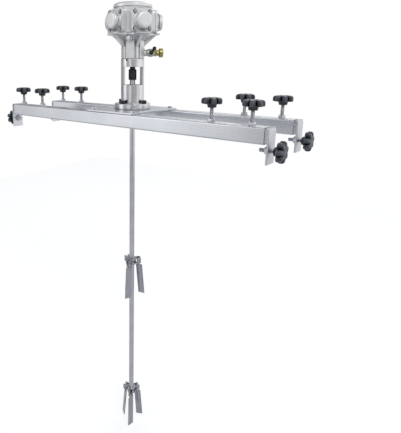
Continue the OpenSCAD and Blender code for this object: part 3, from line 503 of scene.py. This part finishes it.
# shares are of the knob's height or radius; lobeShare is of the widest lobe that fits
knob = {
    "lobes": 7, "hubShare": 0.36, "hubFoot": 0.40, "hubTop": 0.455, "lobeShare": 0.66,
    "pointsPerLobe": 14, "lockTurn": (17, 29), "clampTurn": (12, 23), "smoothTo": 40,
    "highlightFrom": 0.8,       # the share of a lobe's height above which it carries a painted highlight
    # radii, edges, heights, depths and insets below are in metres
    "footRadius": 0.0064, "footEdge": 0.0006, "collarDrop": 0.0010,
    # the lobes' underside: height above the hub, inset
    "under": ((0.0001, 0.0034), (0.0006, 0.0014), (0.0018, 0.0003)),
    # their sides: share of the head's height, inset, share of the round shape
    "sides": ((0.19, 0, 0), (0.50, 0, 0), (0.66, 0.0004, 0), (0.79, 0.0015, 0), (0.89, 0.0032, 0),
              (0.96, 0.0056, 0.1)),
    # the shoulder between lobes and cap: depth below the top, inset, radius, share of the round shape
    "shoulder": (0.0001, 0.0085, 0.0150, 0.5),
    # the cap: depth below the top, radius
    "cap": ((0, 0.0112), (0.0009, 0.0102), (0.0009, 0.0095), (0.0001, 0.0086), (0, 0.0050)),
}


def lobedRadius(angle, radius):
    step = 2 * math.pi / knob["lobes"]
    off = (angle + step / 2) % step - step / 2
    lobe = radius * math.sin(step / 2) * knob["lobeShare"]
    centre = radius - lobe
    return centre * math.cos(off) + math.sqrt(max(lobe ** 2 - (centre * math.sin(off)) ** 2, 0))


def knobMesh(outer, height):
    # each ring is (height, inset from the lobed outline, round radius, share of the round shape)
    foot = height * knob["hubShare"]
    head = height - foot
    hubFoot, hubTop = outer * knob["hubFoot"], outer * knob["hubTop"]
    lip = knob["footEdge"]
    rings = [
        (0, 0, knob["footRadius"], 1), (0, 0, hubFoot - lip, 1), (lip, 0, hubFoot, 1),
        (foot - knob["collarDrop"], 0, hubTop, 1), (foot, 0, hubTop + lip, 1)]
    rings += [(foot + rise, inset, 0, 0) for rise, inset in knob["under"]]
    rings += [(foot + head * share, inset, 0, roundShare) for share, inset, roundShare in knob["sides"]]
    depth, inset, radius, roundShare = knob["shoulder"]
    rings.append((foot + head - depth, inset, radius, roundShare))
    rings += [(foot + head - depth, 0, radius, 1) for depth, radius in knob["cap"]]
    count = knob["lobes"] * knob["pointsPerLobe"]
    paintedHighlight = knob["highlightFrom"]
    valley = min(lobedRadius(2 * math.pi * i / count, outer) for i in range(count))
    shape = bmesh.new()
    lobe = shape.verts.layers.float.new("lobe")
    loops = []
    for height, inset, roundRadius, share in rings:
        loop = []
        for i in range(count):
            angle = 2 * math.pi * i / count
            edge = lobedRadius(angle, outer)
            radius = (edge - inset) * (1 - share) + roundRadius * share
            point = shape.verts.new((radius * math.cos(angle), radius * math.sin(angle), height))
            # the lobe share sets the painted highlight: none in the valleys, full at each lobe's crest, less where
            # the shape is round
            point[lobe] = max((edge - valley) / (outer - valley) - paintedHighlight, 0) / (1 - paintedHighlight) * (1 - share)
            loop.append(point)
        loops.append(loop)
    for lower, upper in zip(loops, loops[1:]):
        for i in range(count):
            j = (i + 1) % count
            shape.faces.new((lower[i], lower[j], upper[j], upper[i]))
    shape.faces.new(list(reversed(loops[0])))
    shape.faces.new(loops[-1])
    mesh = bpy.data.meshes.new("knob")
    bmesh.ops.recalc_face_normals(shape, faces=shape.faces)
    shape.to_mesh(mesh)
    shape.free()
    return mesh


for node in sorted(n for n in nodes if "_knob_" in n):
    low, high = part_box(node)
    size = high - low
    centre = Vector(hinges[node]["pos_m"])
    number = int(node.rsplit("_", 1)[1])
    if node.startswith("lock"):
        centre.z = low.z
        start, step = knob["lockTurn"]
        turn = Matrix.Identity(4)
    else:
        side = 1 if centre.x > 0 else -1
        centre.x = low.x if side > 0 else high.x
        start, step = knob["clampTurn"]
        turn = alongX(side)
    mesh = knobMesh(max(size) / 2, min(size))
    spin = Matrix.Rotation(math.radians(start + step * number), 4, "Z")
    mesh.transform(Matrix.Translation(centre) @ turn @ spin)
    smooth(mesh, knob["smoothTo"])
    seat(meshObject(node + "_star", mesh, "knob_plastic"), node)
print("star knobs done")

# ---- light, backdrop and floor ----

studio = {
    "floorBelow": 0.03, "floorSize": 7.0, "floorGlow": 0.48, "floorColour": 0.58, "floorRough": 0.9,
    "backdropTint": (0.965, 0.98, 1.0, 1), "evenLight": 0.80,
    # what metal sees of the backdrop: by height, from straight down (0) to straight up (1)
    "byHeight": ((0.0, 0.30), (0.30, 0.42), (0.44, 0.95), (0.56, 1.0), (0.75, 0.85), (1.0, 0.90)),
    # and by turn, as a share of a circle from +X, with the soft boxes bright and the gaps between them grey
    "byTurn": (
        (0.0, 0.85), (0.03, 1.05), (0.12, 1.05), (0.22, 0.85), (0.32, 0.75), (0.40, 0.42), (0.50, 0.38),
        (0.575, 0.42), (0.60, 0.96), (0.637, 1.27), (0.668, 1.22), (0.69, 0.50), (0.74, 0.46), (0.79, 0.95),
        (0.85, 0.40), (0.93, 0.50)),
}
# each lamp is (x, y, z, width, height, watts), aimed at the middle of the object
lamps = {
    "keyLamp": (2.9, -1.9, 2.6, 1.6, 1.6, 36),
    "fillLamp": (-1.9, -2.9, 1.4, 0.9, 2.0, 6),
    "rimLamp": (-1.2, 3.4, 2.4, 1.8, 0.9, 14),
}


def profile(tree, value, points):
    # a smooth curve of brightness, at half scale inside the ramp so that it may pass 1
    curve = add(tree, "ShaderNodeValToRGB", {0: value})
    ramp = curve.color_ramp
    ramp.interpolation = "EASE"
    for i, (position, brightness) in enumerate(points):
        element = ramp.elements[i] if i < 2 else ramp.elements.new(position)
        element.position = position
        element.color = (brightness / 2, brightness / 2, brightness / 2, 1)
    return add(tree, "ShaderNodeMath", {0: curve.outputs[0], 1: 2.0}, operation="MULTIPLY").outputs[0]


def makeLamps(middle):
    for name, (x, y, z, width, height, watts) in lamps.items():
        data = bpy.data.lights.new(name, "AREA")
        data.shape = "RECTANGLE"
        data.size, data.size_y = width, height
        data.energy = watts
        lamp = bpy.data.objects.new(name, data)
        bpy.context.scene.collection.objects.link(lamp)
        lamp.location = (x, y, z)
        lamp.rotation_euler = (middle - lamp.location).to_track_quat("-Z", "Y").to_euler()


def makeBackdrop():
    world = bpy.data.worlds.new("world")
    bpy.context.scene.world = world
    world.use_nodes = True
    tree = world.node_tree
    out = tree.nodes["World Output"]
    even = tree.nodes["Background"]
    even.inputs["Color"].default_value = studio["backdropTint"]
    even.inputs["Strength"].default_value = studio["evenLight"]
    path = add(tree, "ShaderNodeLightPath")
    maths = mathsIn(tree)
    direction = add(tree, "ShaderNodeSeparateXYZ", {0: add(tree, "ShaderNodeTexCoord").outputs["Generated"]})
    around = maths("ARCTAN2", direction.outputs[1], direction.outputs[0])
    around = maths("FRACT", maths("MULTIPLY_ADD", around, 1 / (2 * math.pi), 1.0))
    upward = maths("MULTIPLY_ADD", direction.outputs[2], 0.5, 0.5)
    byTurn = profile(tree, around, studio["byTurn"] + ((1.0, studio["byTurn"][0][1]),))
    boxes = maths("MULTIPLY", profile(tree, upward, studio["byHeight"]), byTurn)
    # white where the camera looks, soft boxes and gaps where metal and glass look
    level = maths("MULTIPLY_ADD", path.outputs["Is Camera Ray"], maths("SUBTRACT", 1.0, boxes), boxes)
    backdrop = add(tree, "ShaderNodeBackground", {"Color": (1, 1, 1, 1), "Strength": level})
    seen = maths("MAXIMUM", path.outputs["Is Camera Ray"], path.outputs["Is Glossy Ray"])
    seen = maths("MAXIMUM", seen, path.outputs["Is Transmission Ray"])
    pick = add(tree, "ShaderNodeMixShader", {0: seen, 1: even.outputs[0], 2: backdrop.outputs[0]})
    tree.links.new(pick.outputs[0], out.inputs["Surface"])


def makeFloor(height):
    mesh = bpy.data.meshes.new("floor")
    half = studio["floorSize"] / 2
    corners = [(-half, -half, height), (half, -half, height), (half, half, height), (-half, half, height)]
    mesh.from_pydata(corners, [], [(0, 1, 2, 3)])
    material = bpy.data.materials.new("floorPaint")
    material.use_nodes = True
    paint = material.node_tree
    shader = paint.nodes["Principled BSDF"]
    shade = studio["floorColour"]
    shader.inputs["Base Color"].default_value = (shade, shade, shade, 1)
    shader.inputs["Roughness"].default_value = studio["floorRough"]
    glow = add(paint, "ShaderNodeEmission", {"Strength": studio["floorGlow"]})
    glowing = add(paint, "ShaderNodeAddShader", {0: shader.outputs[0], 1: glow.outputs[0]})
    rays = add(paint, "ShaderNodeLightPath")
    # only the camera sees the glow
    both = add(paint, "ShaderNodeMixShader", {
        0: rays.outputs["Is Camera Ray"], 1: shader.outputs[0], 2: glowing.outputs[0]})
    paint.links.new(both.outputs[0], paint.nodes["Material Output"].inputs["Surface"])
    mesh.materials.append(material)
    floor = bpy.data.objects.new("floor", mesh)
    bpy.context.scene.collection.objects.link(floor)


low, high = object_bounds()
makeLamps(Vector(((low.x + high.x) / 2, (low.y + high.y) / 2, 0)))
makeBackdrop()
makeFloor(low.z - studio["floorBelow"])
bpy.context.scene.view_settings.view_transform = "Standard"
print("studio done")
